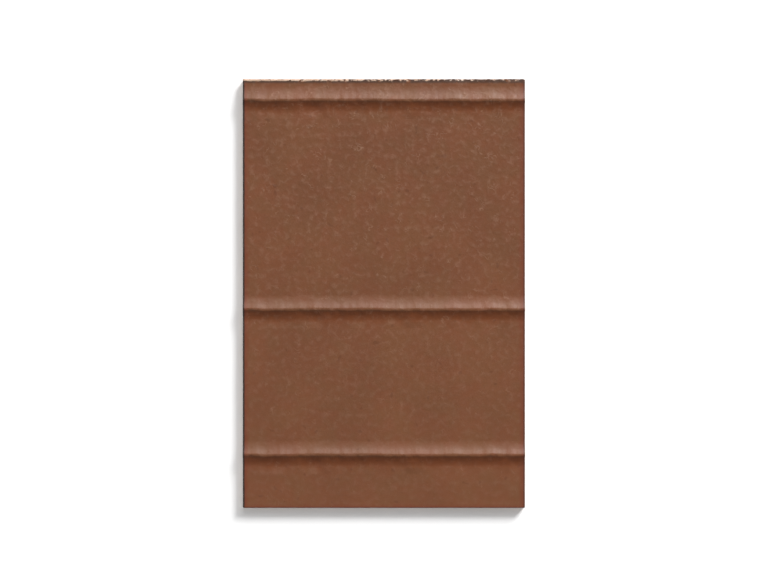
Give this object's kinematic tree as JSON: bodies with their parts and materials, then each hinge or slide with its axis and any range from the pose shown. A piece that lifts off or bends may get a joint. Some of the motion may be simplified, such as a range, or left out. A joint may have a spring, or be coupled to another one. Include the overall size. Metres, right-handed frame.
{
  "type": "ridged ceramic wall tile",
  "caption": "Flat rectangular brown ceramic wall tile, with unevenly spaced raised ridges across its front and shallow ribs on its back.",
  "frame": {"origin": "middle of the tile's back, on the bedding plane", "axes": "+Z is the outward normal of the front face, +Y runs along the length to the edge that is uppermost on the wall, +X runs across the width, along the ridges"},
  "size_m": [0.25, 0.38, 0.0116],
  "materials": {
    "matt_ceramic": "fine-grained satin-matt brown face, bare fired clay on the back and lower edges"
  },
  "bodies": {
    "root": {"ridged_tile": "matt_ceramic"}
  },
  "joints": []
}
